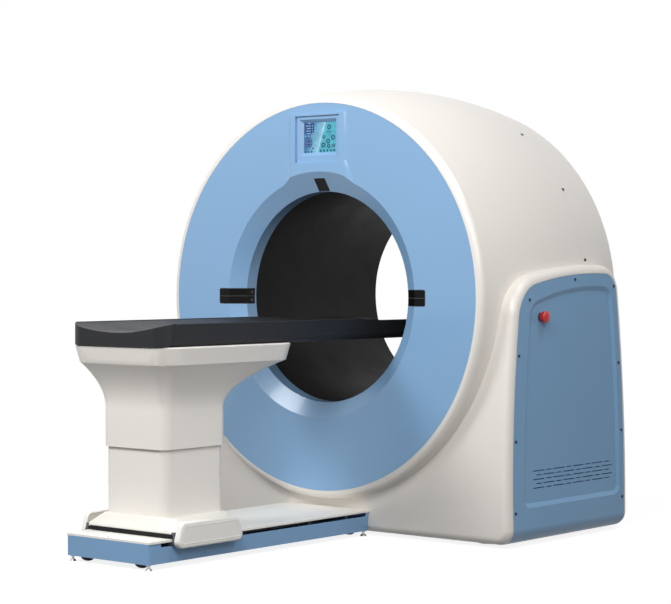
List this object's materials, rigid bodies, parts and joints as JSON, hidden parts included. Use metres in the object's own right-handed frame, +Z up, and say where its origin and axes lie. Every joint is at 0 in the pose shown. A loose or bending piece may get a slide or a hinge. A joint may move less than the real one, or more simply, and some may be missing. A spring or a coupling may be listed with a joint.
{
  "type": "ct scanner",
  "caption": "CT scanner: drum gantry with side blocks and a wide patient bore, and a lifting trough table that feeds in along a low floor base.",
  "frame": {"origin": "on the floor under the middle of the whole machine", "axes": "+X to the right seen from the table end, +Y from the table into the bore, +Z up"},
  "size_m": [1.5466, 1.79, 1.531],
  "materials": {
    "warm_white_shell": "satin warm white moulded cover",
    "blue_face": "satin pale blue paint",
    "blue_panel": "satin slate blue paint",
    "black_liner": "matt black moulding",
    "laser_glass": "black filter plastic",
    "screen_glass": "lit screen",
    "tabletop_laminate": "dark laminate with a satin face",
    "stop_red": "red mushroom head",
    "dark_plastic": "dark moulding",
    "screw_steel": "dark zinc plated",
    "base_blue": "satin blue paint",
    "plate_white": "white powder coat",
    "saddle_white": "white moulding",
    "column_paint": "white powder coat",
    "frame_steel": "dark grey powder coat",
    "machined_steel": "machined",
    "rotor_aluminium": "machined",
    "unit_grey": "grey paint",
    "slip_ring_laminate": "laminate with brass tracks",
    "rubber": "black rubber",
    "wheel_rubber": "black rubber tread",
    "glide_plastic": "low friction plastic"
  },
  "bodies": {
    "gantry": {"front_cover": "warm_white_shell", "rear_cover": "warm_white_shell", "cover_screws": "screw_steel", "side_panel_right": "blue_panel", "side_panel_left": "blue_panel", "panel_screws": "screw_steel", "stop_collars": "dark_plastic", "front_face": "blue_face", "laser_windows": "laser_glass", "laser_units": "unit_grey", "display_frame": "blue_face", "display_screen": "screen_glass", "display_unit": "dark_plastic", "bore_liner": "black_liner", "floor_frame": "frame_steel", "gantry_feet": "machined_steel", "stator_plate": "unit_grey", "bearing_outer_race": "machined_steel", "brush_block": "dark_plastic", "drive_belt": "rubber", "rotor_motor": "unit_grey", "table_base": "base_blue", "base_top_plate": "plate_white", "table_feet": "machined_steel", "carriage_rails": "machined_steel", "screw_bearings": "machined_steel", "table_drive_motor": "unit_grey"},
    "rotor": {"rotor_frame": "rotor_aluminium", "xray_tube": "unit_grey", "collimator": "machined_steel", "detector_arc": "dark_plastic", "high_voltage_generator": "unit_grey", "tube_cooler": "rotor_aluminium", "counterweights": "machined_steel", "slip_ring": "slip_ring_laminate", "bearing_inner_race": "machined_steel", "bearing_balls": "machined_steel"},
    "pulley": {"motor_pulley": "machined_steel"},
    "carriage": {"carriage_frame": "frame_steel", "saddle_cover": "saddle_white", "carriage_cover_right": "saddle_white", "carriage_cover_left": "saddle_white", "lower_column": "column_paint", "column_glides": "glide_plastic", "lift_actuator": "rotor_aluminium"},
    "table_lift": {"upper_column": "column_paint", "lift_rod": "machined_steel", "tabletop": "tabletop_laminate"},
    "feed_screw": {"drive_screw": "machined_steel"},
    "stop_right": {"stop_button_right": "stop_red"},
    "stop_left": {"stop_button_left": "stop_red"},
    "caster_front_left": {"caster_fork_front_left": "machined_steel"},
    "wheel_front_left": {"caster_wheel_front_left": "wheel_rubber"},
    "caster_rear_left": {"caster_fork_rear_left": "machined_steel"},
    "wheel_rear_left": {"caster_wheel_rear_left": "wheel_rubber"},
    "caster_front_right": {"caster_fork_front_right": "machined_steel"},
    "wheel_front_right": {"caster_wheel_front_right": "wheel_rubber"},
    "caster_rear_right": {"caster_fork_rear_right": "machined_steel"},
    "wheel_rear_right": {"caster_wheel_rear_right": "wheel_rubber"}
  },
  "joints": [
    {"name": "rotor_spin", "type": "hinge", "parent": "gantry", "child": "rotor", "pos_m": [0, 0.095, 0.805], "axis": [0, 1, 0], "continuous": true},
    {"name": "pulley_spin", "type": "hinge", "parent": "gantry", "child": "pulley", "pos_m": [0.6, 0.477, 0.152], "axis": [0, 1, 0], "continuous": true},
    {"name": "table_feed", "type": "slide", "parent": "gantry", "child": "carriage", "axis": [0, 1, 0], "range_m": [0, 0.5]},
    {"name": "table_height", "type": "slide", "parent": "carriage", "child": "table_lift", "axis": [0, 0, 1], "range_m": [-0.08, 0.12]},
    {"name": "feed_screw_spin", "type": "hinge", "parent": "gantry", "child": "feed_screw", "pos_m": [0, -0.405, 0.04], "axis": [0, 1, 0], "range_deg": [-9000, 0]},
    {"name": "stop_press_right", "type": "slide", "parent": "gantry", "child": "stop_right", "axis": [1, 0, 0], "range_m": [-0.006, 0], "stiffness_N_per_m": 800},
    {"name": "stop_press_left", "type": "slide", "parent": "gantry", "child": "stop_left", "axis": [-1, 0, 0], "range_m": [-0.006, 0], "stiffness_N_per_m": 800},
    {"name": "swivel_front_left", "type": "hinge", "parent": "gantry", "child": "caster_front_left", "pos_m": [-0.118, -0.849, 0.057], "axis": [0, 0, 1], "continuous": true},
    {"name": "roll_front_left", "type": "hinge", "parent": "caster_front_left", "child": "wheel_front_left", "pos_m": [-0.118, -0.863, 0.024], "axis": [1, 0, 0], "continuous": true},
    {"name": "swivel_rear_left", "type": "hinge", "parent": "gantry", "child": "caster_rear_left", "pos_m": [-0.118, 0.10305, 0.057], "axis": [0, 0, 1], "continuous": true},
    {"name": "roll_rear_left", "type": "hinge", "parent": "caster_rear_left", "child": "wheel_rear_left", "pos_m": [-0.118, 0.11705, 0.024], "axis": [1, 0, 0], "continuous": true},
    {"name": "swivel_front_right", "type": "hinge", "parent": "gantry", "child": "caster_front_right", "pos_m": [0.118, -0.849, 0.057], "axis": [0, 0, 1], "continuous": true},
    {"name": "roll_front_right", "type": "hinge", "parent": "caster_front_right", "child": "wheel_front_right", "pos_m": [0.118, -0.863, 0.024], "axis": [1, 0, 0], "continuous": true},
    {"name": "swivel_rear_right", "type": "hinge", "parent": "gantry", "child": "caster_rear_right", "pos_m": [0.118, 0.10305, 0.057], "axis": [0, 0, 1], "continuous": true},
    {"name": "roll_rear_right", "type": "hinge", "parent": "caster_rear_right", "child": "wheel_rear_right", "pos_m": [0.118, 0.11705, 0.024], "axis": [1, 0, 0], "continuous": true}
  ],
  "couplings": [
    {"joint": "pulley_spin", "follows": "rotor_spin", "ratio": 12.631},
    {"joint": "feed_screw_spin", "follows": "table_feed", "rad_per_m": -314.16}
  ]
}
